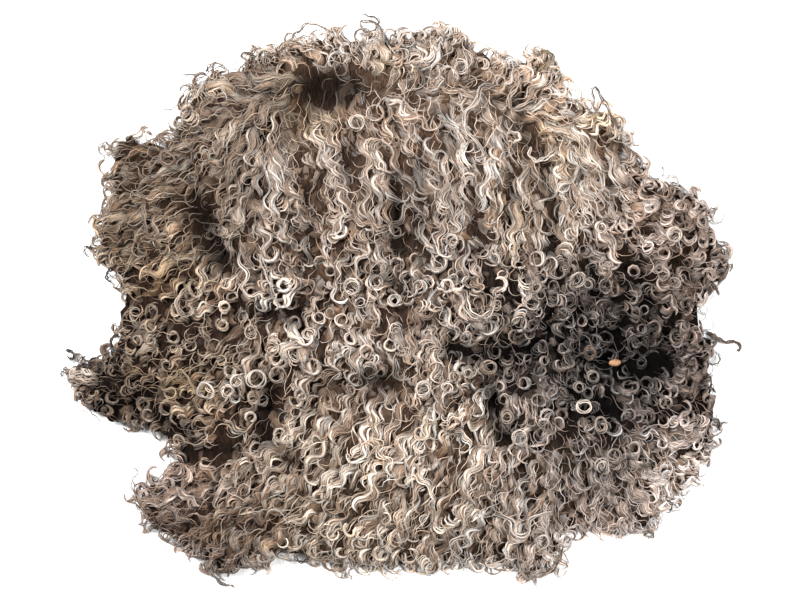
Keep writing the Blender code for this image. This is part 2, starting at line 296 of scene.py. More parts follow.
def layStrands(x, y, strand, points):
    # walks every strand in even steps: the heading follows the comb and swings in waves, and it winds
    # up into a ring at the tip or where the strand has gone far enough past the rim
    count = len(x)
    step = strand["length"] / (points - 1)
    place = np.zeros((count, points, 3))
    flow, ease = np.zeros((count, points)), np.ones((count, points))
    angle = combAngle(x, y) + strand["aside"]
    px = x - strand["back"] * np.cos(angle)
    py = y - strand["back"] * np.sin(angle)
    base = angle.copy()
    wound = np.zeros(count)
    sinceCurl = np.zeros(count)
    curlStart = strand["length"] - np.abs(strand["turns"]) * math.tau * strand["curl"]
    hand = np.sign(strand["turns"])
    for i in range(points):
        s = i * step
        turn = np.angle(np.exp(1j * (combAngle(px, py) + strand["aside"] - base)))
        base += turn * np.clip(strand["follow"] * step * 60, 0, 1)
        winding = (s > curlStart) | (lookUp("inward", px, py) < -strand["overhang"])
        sinceCurl = np.where(winding, sinceCurl + step, np.maximum(sinceCurl - step, 0))
        wound += np.where(winding, hand * step / strand["curl"] * (1 + 8 * sinceCurl), 0)
        calm = np.clip(1 - sinceCurl / 0.010, 0, 1)
        beat = math.tau * s / strand["wave"] + strand["phase"]
        heading = base + strand["swing"] * calm * np.clip(s / 0.012, 0, 1) * np.cos(beat) + wound
        share = i / (points - 1)
        buried = strand["bury"] * (1 - np.clip(share / 0.22, 0, 1)) ** 1.5
        sunk = strand["under"] + buried + strand["droop"] * share**2
        place[:, i, 0], place[:, i, 1] = px, py
        heave = strand["heave"] * np.cos(beat + 0.6) * (0.35 + 0.65 * calm)
        place[:, i, 2] = lookUp("soft", px, py) - sunk + heave
        flow[:, i], ease[:, i] = base, calm
        px = px + step * np.cos(heading)
        py = py + step * np.sin(heading)
    return place, flow, ease


def outwardAngle(x, y):  # the way out over the nearest edge
    gap = 0.004
    slopeX = lookUp("inward", x + gap, y) - lookUp("inward", x - gap, y)
    slopeY = lookUp("inward", x, y + gap) - lookUp("inward", x, y - gap)
    return np.arctan2(-slopeY, -slopeX)


def trimAtRim(x, y, strand, points, shortest=0.025):
    # what would run far past the rim is cut so that it ends there in a hook
    place = layStrands(x, y, strand, points)[0]
    out = lookUp("inward", place[:, :, 0], place[:, :, 1]) < -strand["overhang"][:, None]
    crossing = np.where(out.any(axis=1), out.argmax(axis=1), points - 1) / (points - 1) * strand["length"]
    spare = wool.uniform(0.25, 1.05, len(x)) * math.tau * strand["curl"]
    strand["length"] = np.minimum(strand["length"], np.maximum(crossing + spare, shortest))


def readAlong(rows, owner, share):  # values along each lock's spine at the shares of its length
    at = np.clip(share, 0, 0.9999) * (rows.shape[1] - 1)
    low = at.astype(int)
    mix = at - low
    if rows.ndim == 3:
        mix = mix[..., None]
    return rows[owner[:, None], low] * (1 - mix) + rows[owner[:, None], low + 1] * mix


def strandRadii(widest, points, tip=0.35, root=0.55):
    share = np.linspace(0, 1, points)
    profile = np.minimum(1, root + share * 4) * (1 - (1 - tip) * share**3)
    profile = profile * np.clip(np.minimum(share, 1 - share) * (points - 1), 0, 1)  # pointed ends
    return widest[:, None] * profile[None]


def keepAboveFloor(place, radii, clearance=0.0006):
    place[:, :, 2] = np.maximum(place[:, :, 2], radii + clearance)
    return place


flatness = 0.62  # how thick a strand is for its width


def sweepStrands(name, place, radii, tint, sides, finish, flat=flatness):
    # hair curves carry the strands, and Geometry Nodes sweeps them into closed tapered tubes, a little
    # flatter than wide
    count, points = radii.shape
    guides = bpy.data.hair_curves.new(name + "Guides")
    guides.add_curves([points] * count)
    guides.set_types(type="POLY")
    guides.position_data.foreach_set("vector", place.astype(np.float32).ravel())
    steps = np.linalg.norm(np.diff(place, axis=1), axis=2)
    run = np.concatenate([np.zeros((count, 1)), np.cumsum(steps, axis=1)], axis=1)
    tiles = math.ceil(math.sqrt(count))
    tile = np.zeros((count, 3))
    tile[:, 0] = np.arange(count) % tiles
    tile[:, 1] = np.arange(count) // tiles
    colour = np.concatenate([tint, np.ones((count, points, 1))], axis=2)
    attributes = {
        "thick": ("FLOAT", "POINT", "value", radii),
        "run": ("FLOAT", "POINT", "value", run),
        "tint": ("FLOAT_COLOR", "POINT", "color", colour),
        "strand": ("FLOAT", "CURVE", "value", wool.uniform(0, 1, count)),
        "tile": ("FLOAT_VECTOR", "CURVE", "vector", tile),
    }
    for label, (kind, domain, field, values) in attributes.items():
        written = guides.attributes.new(label, kind, domain)
        written.data.foreach_set(field, values.astype(np.float32).ravel())
    guideObject = addObject(name + "Guides", guides)

    tree = bpy.data.node_groups.new(name + "Sweep", "GeometryNodeTree")
    for way in ("INPUT", "OUTPUT"):
        tree.interface.new_socket("Geometry", in_out=way, socket_type="NodeSocketGeometry")
    nodes, link = tree.nodes, tree.links.new
    source = newNode(nodes, "GeometryNodeObjectInfo", {"Object": guideObject})
    along = newNode(nodes, "GeometryNodeSplineParameter")
    storeAlong = storeNode(nodes, "FLOAT", "POINT", "along")
    link(source.outputs["Geometry"], storeAlong.inputs["Geometry"])
    link(along.outputs["Factor"], storeAlong.inputs["Value"])
    ringSockets = {"Resolution": sides + 1, "Radius": 1.0, "Sweep Angle": math.tau}
    arc = newNode(nodes, "GeometryNodeCurveArc", ringSockets)
    aroundRing = newNode(nodes, "GeometryNodeSplineParameter")
    storeAround = storeNode(nodes, "FLOAT", "POINT", "around")
    link(arc.outputs["Curve"], storeAround.inputs["Geometry"])
    link(aroundRing.outputs["Factor"], storeAround.inputs["Value"])
    upright = newNode(nodes, "GeometryNodeSetCurveNormal", mode="Z_UP")
    link(storeAlong.outputs["Geometry"], upright.inputs["Curve"])
    squash = newNode(nodes, "GeometryNodeTransform", {"Scale": (1, flat, 1)})
    link(storeAround.outputs["Geometry"], squash.inputs["Geometry"])
    sweep = newNode(nodes, "GeometryNodeCurveToMesh")
    link(upright.outputs["Curve"], sweep.inputs["Curve"])
    link(squash.outputs["Geometry"], sweep.inputs["Profile Curve"])
    link(namedNode(nodes, "FLOAT", "thick"), sweep.inputs["Scale"])
    corner = newNode(nodes, "ShaderNodeCombineXYZ")
    link(namedNode(nodes, "FLOAT", "around"), corner.inputs["X"])
    link(namedNode(nodes, "FLOAT", "along"), corner.inputs["Y"])
    inTile = newNode(nodes, "ShaderNodeVectorMath", {1: (0.84, 0.9, 0), 2: (0.08, 0.05, 0)},
                     operation="MULTIPLY_ADD")  # each strand keeps a margin round it on the sheet
    link(corner.outputs[0], inTile.inputs[0])
    onSheet = newNode(nodes, "ShaderNodeVectorMath")
    link(inTile.outputs[0], onSheet.inputs[0])
    link(namedNode(nodes, "FLOAT_VECTOR", "tile"), onSheet.inputs[1])
    scaled = newNode(nodes, "ShaderNodeVectorMath", {"Scale": 1 / tiles}, operation="SCALE")
    link(onSheet.outputs[0], scaled.inputs[0])
    storeMap = storeNode(nodes, "FLOAT2", "CORNER", "OFBake")
    link(sweep.outputs["Mesh"], storeMap.inputs["Geometry"])
    link(scaled.outputs[0], storeMap.inputs["Value"])
    merge = newNode(nodes, "GeometryNodeMergeByDistance", {"Distance": 2e-6})
    link(storeMap.outputs["Geometry"], merge.inputs["Geometry"])
    out = newNode(nodes, "NodeGroupOutput")
    link(merge.outputs["Geometry"], out.inputs[0])

    holder = addObject(name + "Sweep", bpy.data.meshes.new(name + "Sweep"))
    holder.modifiers.new("sweep", "NODES").node_group = tree
    depsgraph = bpy.context.evaluated_depsgraph_get()
    mesh = bpy.data.meshes.new_from_object(holder.evaluated_get(depsgraph), depsgraph=depsgraph)
    mesh.name = name
    bpy.data.objects.remove(holder)
    bpy.data.objects.remove(guideObject)
    for label in ("tile", "thick"):
        if label in mesh.attributes:
            mesh.attributes.remove(mesh.attributes[label])
    mesh.shade_smooth()
    mesh.materials.clear()
    mesh.materials.append(finish)
    print(name, "strands", count, "triangles", countTriangles(mesh))
    return addObject(name, mesh)


def countTriangles(mesh):
    return sum(len(face.vertices) - 2 for face in mesh.polygons)


def addObject(name, data):
    made = bpy.data.objects.new(name, data)
    bpy.context.scene.collection.objects.link(made)
    return made


def newNode(nodes, kind, sockets=None, **settings):  # a node with its settings and socket values
    node = nodes.new(kind)
    for name, value in settings.items():
        setattr(node, name, value)
    for name, value in (sockets or {}).items():
        node.inputs[name].default_value = value
    return node


def storeNode(nodes, kind, domain, label):
    sockets = {"Name": label}
    return newNode(nodes, "GeometryNodeStoreNamedAttribute", sockets, data_type=kind, domain=domain)


def namedNode(nodes, kind, label):
    node = newNode(nodes, "GeometryNodeInputNamedAttribute", {"Name": label}, data_type=kind)
    return node.outputs["Attribute"]


def newFinish(name, sockets):  # a material with these values on its shader
    material = bpy.data.materials.new(name)
    material.use_nodes = True
    nodes, link = material.node_tree.nodes, material.node_tree.links.new
    shader = nodes["Principled BSDF"]
    for label, value in sockets.items():
        shader.inputs[label].default_value = value
    return material, nodes, link, shader


def addBump(nodes, link, noise, shader, strength, distance):
    bump = newNode(nodes, "ShaderNodeBump", {"Strength": strength, "Distance": distance})
    link(noise.outputs["Fac"], bump.inputs["Height"])
    link(bump.outputs["Normal"], shader.inputs["Normal"])


def woolFinish(name, around, rough=0.38, streak=0.40, gloss=0.35):
    material, nodes, link, shader = newFinish(name, {
        "Roughness": rough, "Specular IOR Level": gloss, "Sheen Weight": 0.08, "Sheen Roughness": 0.4,
    })

    def reading(label, socket):
        return newNode(nodes, "ShaderNodeAttribute", attribute_name=label).outputs[socket]

    fibre = newNode(nodes, "ShaderNodeCombineXYZ")  # fibres run along the strand, and no two strands match
    for axis, label, factor in (("X", "around", around), ("Y", "run", 45.0), ("Z", "strand", 400.0)):
        scaled = newNode(nodes, "ShaderNodeMath", {1: factor}, operation="MULTIPLY")
        link(reading(label, "Fac"), scaled.inputs[0])
        link(scaled.outputs[0], fibre.inputs[axis])
    noise = newNode(nodes, "ShaderNodeTexNoise", {"Scale": 1.0, "Detail": 3.0})
    link(fibre.outputs[0], noise.inputs["Vector"])
    shade = newNode(nodes, "ShaderNodeMapRange", {
        "From Min": 0.3, "From Max": 0.7, "To Min": 1 - streak, "To Max": 1 + streak * 0.6,
    })
    link(noise.outputs["Fac"], shade.inputs["Value"])
    # darker where a strand comes out of the under-wool: partly the roots' own greyer tone, partly painted
    # shade
    rootToneAndShade = newNode(nodes, "ShaderNodeValToRGB")
    rootToneAndShade.color_ramp.elements[0].color = (0.40, 0.40, 0.40, 1)
    rootToneAndShade.color_ramp.elements[1].position = 0.30
    rootToneAndShade.color_ramp.elements[1].color = (1, 1, 1, 1)
    link(reading("along", "Fac"), rootToneAndShade.inputs["Fac"])
    first = newNode(nodes, "ShaderNodeMix", {"Factor": 1.0}, data_type="RGBA", blend_type="MULTIPLY")
    link(reading("tint", "Color"), first.inputs["A"])
    link(rootToneAndShade.outputs["Color"], first.inputs["B"])
    second = newNode(nodes, "ShaderNodeVectorMath", operation="SCALE")
    link(first.outputs["Result"], second.inputs[0])
    link(shade.outputs["Result"], second.inputs["Scale"])
    link(second.outputs[0], shader.inputs["Base Color"])
    addBump(nodes, link, noise, shader, strength=0.5, distance=0.0005)
    return material


def bedFinish():
    material, nodes, link, shader = newFinish("underWool", {"Roughness": 0.9, "Specular IOR Level": 0.04})
    place = newNode(nodes, "ShaderNodeTexCoord")
    noise = newNode(nodes, "ShaderNodeTexNoise", {"Scale": 1.0, "Detail": 4.0, "Distortion": 0.8})
    # streaks that run the way most locks do
    drawn = newNode(nodes, "ShaderNodeVectorMath", {1: (420, 110, 300)}, operation="MULTIPLY")
    link(place.outputs["Object"], drawn.inputs[0])
    link(drawn.outputs[0], noise.inputs["Vector"])
    tint = newNode(nodes, "ShaderNodeAttribute", attribute_name="tint")
    shade = newNode(nodes, "ShaderNodeMapRange", {
        "From Min": 0.3, "From Max": 0.7, "To Min": 0.25, "To Max": 1.55,
    })
    link(noise.outputs["Fac"], shade.inputs["Value"])
    mixed = newNode(nodes, "ShaderNodeVectorMath", operation="SCALE")
    link(tint.outputs["Color"], mixed.inputs[0])
    link(shade.outputs["Result"], mixed.inputs["Scale"])
    link(mixed.outputs[0], shader.inputs["Base Color"])
    addBump(nodes, link, noise, shader, strength=0.8, distance=0.002)
    return material


bedSizes = {"sunk": 0.012, "side": 0.007, "rough": 0.004, "cell": 0.0068, "brown": (1.22, 0.97, 0.78),
            "grey": (0.46, 0.44, 0.45), "shade": 0.34, "partingShade": 0.80, "greyer": 2.2}
bedLumps = [(0.4, 0.019, 1.0), (1.9, 0.015, 0.8), (2.7, 0.024, 1.0), (1.2, 0.011, 0.6)]  # way, wave, height


def makeBed():  # a copy of the solid, sunk under the locks, lumpy, and darkened with painted shade as it lies under them
    mesh = fleeceNode.data.copy()
    bed = addObject("underWool", mesh)
    bm = bmesh.new()
    bm.from_mesh(mesh)
    bmesh.ops.remove_doubles(bm, verts=bm.verts, dist=1e-5)
    bm.to_mesh(mesh)
    bm.free()
    remesh = bed.modifiers.new("cells", "REMESH")
    remesh.mode = "VOXEL"
    remesh.voxel_size = bedSizes["cell"]
    depsgraph = bpy.context.evaluated_depsgraph_get()
    solidMesh = bpy.data.meshes.new_from_object(bed.evaluated_get(depsgraph), depsgraph=depsgraph)
    bed.modifiers.clear()
    bed.data = solidMesh
    count = len(solidMesh.vertices)
    co = np.zeros(count * 3)
    solidMesh.vertices.foreach_get("co", co)
    normal = np.zeros(count * 3)
    solidMesh.vertex_normals.foreach_get("vector", normal)
    co, normal = co.reshape(-1, 3), normal.reshape(-1, 3)
    lump = np.zeros(count)
    for turn, wave, size in bedLumps:
        drift = co[:, 0] * math.cos(turn) + co[:, 1] * math.sin(turn)
        lump += size * np.sin(math.tau * drift / wave + 9 * turn)
    sunk = bedSizes["sunk"] - bedSizes["rough"] * lump / 3
    co[:, :2] -= normal[:, :2] * (bedSizes["side"] - bedSizes["rough"] * lump / 2)[:, None]
    lowered = co[:, 2] - sunk * np.clip(normal[:, 2], 0, 1)
    co[:, 2] = np.maximum(np.where(normal[:, 2] > -0.5, lowered, co[:, 2]), 0)
    solidMesh.vertices.foreach_set("co", co.ravel())
    x, y = co[:, 0], co[:, 1]
    # painted shade: the under-wool is darkened because it lies under the locks, and more still in the
    # partings
    dim = bedSizes["shade"] * (1 - bedSizes["partingShade"] * bareness(x, y))
    deep = patchValue("deep", x, y) * dim[:, None]
    # greyer and darker where ringlets stand: painted shade in the gaps between them
    ringed = np.clip(bedSizes["greyer"] * patchValue("rings", x, y), 0, 1)[:, None]
    deep = deep * ((1 - ringed) * np.array(bedSizes["brown"]) + ringed * np.array(bedSizes["grey"]))
    colour = np.concatenate([deep, np.ones((count, 1))], axis=1)
    tint = solidMesh.attributes.new("tint", "FLOAT_COLOR", "POINT")
    tint.data.foreach_set("color", colour.ravel().astype(np.float32))
    solidMesh.materials.clear()
    solidMesh.materials.append(bedFinish())
    solidMesh.shade_smooth()
    print("underWool triangles", countTriangles(solidMesh))
    return bed


# how a strand's paleness is made up of a base, its lock's shade and a painted light that makes strands
# lying higher paler, how much strands and bands along a strand differ, and how much painted shade darkens
# the partings
tinting = {"base": 0.22, "lock": 0.54, "high": 0.24, "vary": 0.12, "bands": 0.16, "partingShade": 0.75,
           "warmth": 0.045, "darkWarmth": 0.24}


def pointTints(place, shade, level, bright, depthShade=0.68):
    # colour of every strand point: the patch that it lies in, painted shade for how deep it lies, and the
    # lock's own shade
    x, y = place[:, :, 0], place[:, :, 1]
    pale, deep = patchValue("pale", x, y, 1.2), patchValue("deep", x, y, 1.2)
    # painted light: strands that lie higher in their lock are painted paler
    mix = bright * (tinting["base"] + tinting["lock"] * shade + tinting["high"] * (1 - level))
    mix = mix + wool.normal(0, tinting["vary"], len(shade))
    bands = wool.uniform(0.8, 2.5, (len(shade), 1))
    along = np.linspace(0, 1, place.shape[1]) * bands + wool.uniform(0, 1, (len(shade), 1))
    mix = np.clip(mix[:, None] + tinting["bands"] * np.sin(math.tau * along), 0.02, 1.12)
    few = patchValue("few", x, y)  # the higher, the fewer strands are pale
    tint = deep + (pale - deep) * (mix**few)[:, :, None]
    # painted shade: strands are darkened the deeper they lie below the top of the wool, and where they lie
    # in a parting
    sunk = np.clip((lookUp("soft", x, y) - place[:, :, 2] - 0.001) / 0.012, 0, 1)
    dim = (1 - depthShade * sunk) * (1 - tinting["partingShade"] * bareness(x, y)) * toneSpotFactor(x, y)
    warm = wool.normal(0, tinting["warmth"], len(shade))[:, None]
    warm = warm + tinting["darkWarmth"] * (1 - np.clip(1.3 * mix, 0, 1))
    hue = np.stack([0.955 + 1.2 * warm, np.full_like(warm, 0.985), 1.035 - 1.1 * warm], axis=2)
    return np.clip(tint * dim[:, :, None] * hue * stainHue(x, y), 0.004, 0.95)


def lockWidth(share):  # how wide a lock is along its length: gathered at the root, drawn in at the tip
    return np.interp(share, (0, 0.2, 0.55, 0.8, 1), (0.5, 1.0, 0.95, 0.55, 0.30))


def sharedBeat(x, y, back):  # neighbouring locks wave nearly in step, in drifting bands
    angle = combAngle(x, y)
    along = (x * np.cos(angle) + y * np.sin(angle)) / patchValue("wave", x, y)
    along = along - back * patchValue("length", x, y) * 20
    drift = 0.45 * np.sin(39 * x + 23 * y) + 0.40 * np.sin(57 * y - 31 * x + 2)
    drift = drift + 0.30 * np.sin(83 * x + 47 * y)
    return math.tau * (along + drift)


def columnRise(x, y):  # locks hang together in columns with troughs between them, from -1 to 1
    angle = combAngle(x, y)
    across = y * np.cos(angle) - x * np.sin(angle)
    along = x * np.cos(angle) + y * np.sin(angle)
    broad = np.sin(math.tau * across / 0.037 + 1.9 * np.sin(31 * along + 9 * across))
    slim = np.sin(math.tau * across / 0.022 + 1 + 1.7 * np.sin(44 * along - 13 * across))
    return 0.6 * broad + 0.4 * slim


def growLocks(sizes):  # the waving spines of one set of locks
    def density(px, py):
        if sizes["kind"] == "cover":  # grows everywhere alike
            return np.ones(len(px))
        if sizes["kind"] == "rim":  # grows only along the edge
            return np.where(lookUp("inward", px, py) < 0.013, 1.0, 0.0)
        return patchValue(sizes["kind"], px, py) * (1 - 0.85 * bareness(px, py))

    x, y = scatter(sizes["spacing"], sizes["inset"], density)
    locks = len(x)
    rise = columnRise(x, y)
    lock = {
        "length": patchValue("length", x, y) * wool.uniform(0.75, 1.25, locks) * sizes["longer"],
        "swing": np.radians(patchValue("swing", x, y)) * wool.uniform(0.60, 1.15, locks),
        "wave": patchValue("wave", x, y) * wool.uniform(0.75, 1.3, locks) * sizes["wider"],
        "curl": patchValue("curl", x, y) * wool.uniform(0.75, 1.3, locks),
        "turns": patchValue("turns", x, y) * wool.uniform(*sizes["wound"], locks)
        * wool.choice([-1, 1], locks),
        "phase": sharedBeat(x, y, sizes["back"]) + wool.normal(0, sizes["loose"], locks),
        "aside": wool.normal(0, sizes["stray"], locks),
        "under": sizes["under"] * wool.uniform(0, 1, locks) + sizes["lower"]
        + 0.010 * bareness(x, y) + sizes["trough"] * (1 - rise),
        "overhang": wool.uniform(*sizes["past"], locks),
        "droop": wool.uniform(-0.002, 0.004, locks),
    }
    if sizes["kind"] == "rim":
        lock["aside"] += outwardAngle(x, y) - combAngle(x, y)
    lock["back"] = sizes["back"] * lock["length"]
    for key in ("follow", "heave", "bury"):
        lock[key] = np.full(locks, sizes[key])
    trimAtRim(x, y, lock, sizes["spine"])
    spine, flow, ease = layStrands(x, y, lock, sizes["spine"])
    width = sizes["width"] * wool.uniform(0.65, 1.3, locks)
    # the lock's shade: a random tone, with painted light on the ridges of the columns and painted shade in
    # their troughs
    return {"spine": spine, "flow": flow, "ease": ease, "length": lock["length"], "width": width,
            "shade": np.clip(0.12 + 0.8 * wool.beta(0.6, 0.6, locks) + 0.26 * rise, 0, 1.15)}


def drawStrands(locks, sizes, points):  # strands side by side along each lock's spine, sharing its waves
    each = sizes["each"]
    owner = np.repeat(np.arange(len(locks["width"])), each)
    count = len(owner)
    even = np.linspace(0, 1, points)
    rooted = wool.uniform(0, 0.28, count)[:, None]
    ended = (1 - wool.uniform(0, 1, count) ** 2 * 0.25)[:, None]
    share = rooted * (1 - even) + ended * even
    place, heading = readAlong(locks["spine"], owner, share), readAlong(locks["flow"], owner, share)
    narrow = lockWidth(share) * (0.45 + 0.55 * readAlong(locks["ease"], owner, share))
    middle = np.tile(np.linspace(-1, 1, each), len(locks["width"])) + wool.normal(0, 0.18, count)
    roam = math.tau * (share * wool.uniform(0.8, 2.2, count)[:, None] + wool.uniform(0, 1, count)[:, None])
    across = middle[:, None] + 0.28 * np.sin(roam)
    aside = across * locks["width"][owner][:, None] * narrow
    length = share * locks["length"][owner][:, None]
    for span in (0.026, 0.013):  # each strand's own small bends
        beat = math.tau * (length / span + wool.uniform(0, 1, count)[:, None])
        aside = aside + sizes["own"] * span / 0.026 * np.sin(beat)
    level = wool.uniform(0, 1, count)
    ground = lookUp("soft", place[:, :, 0], place[:, :, 1])
    place[:, :, 0] -= aside * np.sin(heading)
    place[:, :, 1] += aside * np.cos(heading)
    place[:, :, 2] += lookUp("soft", place[:, :, 0], place[:, :, 1]) - ground
    place[:, :, 2] -= sizes["dome"] * across**2 * narrow + sizes["layer"] * level[:, None]
    thick = np.clip(wool.lognormal(0, sizes["vary"], count), 0.5, 2.2)
    fine = patchValue("fine", place[:, 0, 0], place[:, 0, 1])
    radii = strandRadii(sizes["radius"] * thick * fine, points, sizes["tip"])
    place = keepAboveFloor(place, radii)
    pale = np.clip(sizes["bright"] * (0.55 + 0.45 * thick), 0.3, 1.5)
    return place, radii, pointTints(place, locks["shade"][owner], level, pale)


def drawBodies(locks, sizes):  # the broad soft mass of fine fibres under each lock's strands
    every = np.arange(len(locks["width"]))
    out = lookUp("inward", locks["spine"][:, :, 0], locks["spine"][:, :, 1]) < 0.002
    last = np.where(out.any(axis=1), np.maximum(out.argmax(axis=1) / out.shape[1], 0.12), 0.98)
    share = last[:, None] * np.linspace(0, 1, sizes["bodyPoints"])
    place = readAlong(locks["spine"], every, share)
    narrow = lockWidth(share) ** 1.3 * (0.45 + 0.55 * readAlong(locks["ease"], every, share))
    fat = locks["width"][:, None] * sizes["body"] * narrow
    radii = strandRadii(np.ones(len(every)), sizes["bodyPoints"], 1.0, 1.0) * fat
    place[:, :, 2] -= radii * flatness + 0.0010
    place = keepAboveFloor(place, radii * flatness)
    level = np.full(len(every), 0.5)
    bright = sizes["bodyBright"] * (2 - patchValue("fine", place[:, 0, 0], place[:, 0, 1]))
    return place, radii, pointTints(place, locks["shade"], level, bright, 0.5)


# each set of locks: what makes it grow, how thickly and how wide its locks are, how they wave and lie,
# the strands drawn for locks within a range of lengths with their points, and the soft body under them
lockSets = [
    {"name": "underLocks", "trough": 0.002, "loose": 2.0, "kind": "cover", "spacing": 0.0200,
     "inset": 0.010, "strands": (), "width": 0.0092, "stray": 0.45, "under": 0.004, "lower": 0.006,
     "heave": 0.0020, "bury": 0.004, "back": 0.5, "follow": 0.5, "longer": 0.7, "wider": 1.2,
     "wound": (0.0, 0.4), "past": (-0.016, -0.010), "spine": 24, "body": 1.0, "bodyPoints": 10,
     "bodyBright": 0.42},
    {"name": "tresses", "trough": 0.003, "loose": 0.8, "kind": "tress", "spacing": 0.0234,
     "inset": 0.008, "each": 5, "width": 0.0078,
     "strands": (("Long", 0.085, 1.0, 27), ("Short", 0.0, 0.085, 17)), "own": 0.0008, "radius": 0.00118,
     "vary": 0.48, "tip": 0.50, "stray": 0.12, "under": 0.009, "lower": 0.0, "layer": 0.0015,
     "dome": 0.0030, "heave": 0.0030, "bury": 0.010, "back": 0.40, "follow": 0.55, "longer": 1.0,
     "wider": 1.0, "wound": (0.0, 0.9), "past": (-0.006, 0.004), "spine": 56, "bright": 1.0,
     "body": 0.82, "bodyPoints": 15, "bodyBright": 0.66},
    {"name": "curls", "trough": 0.002, "loose": 1.8, "kind": "curls", "spacing": 0.0220, "inset": 0.004,
     "each": 3, "width": 0.0036, "strands": (("", 0.0, 1.0, 17),), "own": 0.0007, "radius": 0.00118,
     "vary": 0.38, "tip": 0.60, "stray": 0.7, "under": 0.005, "lower": 0.0, "layer": 0.0010,
     "dome": 0.0015, "heave": 0.0024, "bury": 0.010, "back": 0.30, "follow": 0.55, "longer": 0.8,
     "wider": 0.8, "wound": (0.1, 1.2), "past": (-0.006, 0.004), "spine": 40, "bright": 1.08,
     "body": 0.90, "bodyPoints": 12, "bodyBright": 0.60},
    {"name": "edgeCurls", "trough": 0.0, "loose": 2.0, "kind": "rim", "spacing": 0.0125, "inset": 0.001,
     "each": 4, "width": 0.0046, "strands": (("", 0.0, 1.0, 13),), "own": 0.0006, "radius": 0.00140,
     "vary": 0.30, "tip": 0.60, "stray": 0.45, "under": 0.004, "lower": 0.0, "layer": 0.0015,
     "dome": 0.0010, "heave": 0.0020, "bury": 0.006, "back": 0.30, "follow": 0.3, "longer": 0.6,
     "wider": 0.8, "wound": (0.2, 1.2), "past": (-0.002, 0.007), "spine": 30, "bright": 0.95,
     "body": 0.0},
]


def someLocks(locks, keep):
    return {key: values[keep] for key, values in locks.items()}


ringletSizes = {"spacing": 0.0165, "inset": 0.010, "each": 4, "points": 17, "radius": 0.00110,
                "tilt": 0.60, "depth": 0.017}


def makeRinglets(sizes, finish):  # locks that stand up, so that each is seen end on as a ring
    x, y = scatter(sizes["spacing"], sizes["inset"], lambda px, py: patchValue("rings", px, py))
    locks, each, points = len(x), sizes["each"], sizes["points"]
    count = locks * each
    ring = np.repeat(patchValue("curl", x, y) * wool.uniform(0.75, 1.15, locks), each)
    hand = np.repeat(wool.choice([-1, 1], locks), each)
    phase = np.repeat(wool.uniform(0, math.tau, locks), each) + wool.normal(0, 0.8, count)
    tiltX = np.repeat(wool.normal(0, sizes["tilt"], locks), each)
    tiltY = np.repeat(wool.normal(0, sizes["tilt"], locks), each)
    level = np.tile(np.arange(each) / each, locks)
    turns = wool.uniform(1.2, 2.1, count)
    share = np.linspace(0, 1, points)[None]
    lowered = level * 0.005 + np.repeat(wool.uniform(0, 0.005, locks), each)
    deep = sizes["depth"] * (1 - share) ** 1.15 + lowered[:, None]
    radius = (ring * wool.uniform(0.85, 1.12, count))[:, None] * (0.80 + 0.20 * share - 0.25 * share**4)
    around = hand[:, None] * math.tau * turns[:, None] * share + phase[:, None]
    top = lookUp("soft", np.repeat(x, each), np.repeat(y, each))[:, None]
    place = np.zeros((count, points, 3))
    place[:, :, 0] = np.repeat(x, each)[:, None] + radius * np.cos(around) - tiltX[:, None] * deep
    place[:, :, 1] = np.repeat(y, each)[:, None] + radius * np.sin(around) - tiltY[:, None] * deep
    tilted = radius * (np.cos(around) * tiltX[:, None] + np.sin(around) * tiltY[:, None])
    place[:, :, 2] = top - deep + tilted + 0.001
    thick = np.clip(wool.lognormal(0, 0.2, count), 0.6, 1.5)
    radii = strandRadii(sizes["radius"] * thick, points, 0.6)
    shade = np.repeat(wool.uniform(0, 1, locks), each)
    place = keepAboveFloor(place, radii)
    tints = pointTints(place, shade, level, 1.1, 0.8)
    return sweepStrands("ringlets", place, radii, tints, 3, finish)


fuzzSizes = {"spacing": 0.0124, "inset": 0.002, "points": 9, "radius": 0.00048, "length": (0.022, 0.052),
             "swing": (0.3, 0.9), "wave": (0.018, 0.040), "curl": (0.006, 0.010), "under": (-0.003, 0.002),
             "droop": (-0.002, 0.004), "past": (-0.004, 0.003), "follow": 0.5, "back": 0.015,
             "heave": 0.002, "bury": 0.006}


def makeFuzz(sizes, finish):  # single loose fibres over the locks
    def density(px, py):
        return (0.3 + 0.7 * patchValue("fuzz", px, py)) * (1 - 0.7 * bareness(px, py))

    x, y = scatter(sizes["spacing"], sizes["inset"], density)
    count = len(x)
    strand = {key: wool.uniform(*sizes[key], count) for key in ("length", "swing", "wave", "curl")}
    strand["phase"] = wool.uniform(0, math.tau, count)
    strand["aside"] = wool.normal(0, 0.5, count)
    strand["turns"] = wool.uniform(0, 0.5, count) * wool.choice([-1, 1], count)
    strand["under"] = wool.uniform(*sizes["under"], count)
    strand["droop"] = wool.uniform(*sizes["droop"], count)
    strand["overhang"] = wool.uniform(*sizes["past"], count)
    for key in ("follow", "back", "heave", "bury"):
        strand[key] = np.full(count, sizes[key])
    place = layStrands(x, y, strand, sizes["points"])[0]
    radii = strandRadii(sizes["radius"] * wool.uniform(0.7, 1.3, count), sizes["points"], 0.5)
    place = keepAboveFloor(place, radii)
    tints = pointTints(place, wool.uniform(0.1, 0.8, count), wool.uniform(0, 1, count), 0.9)
    return sweepStrands("looseFibres", place, radii, tints, 3, finish)


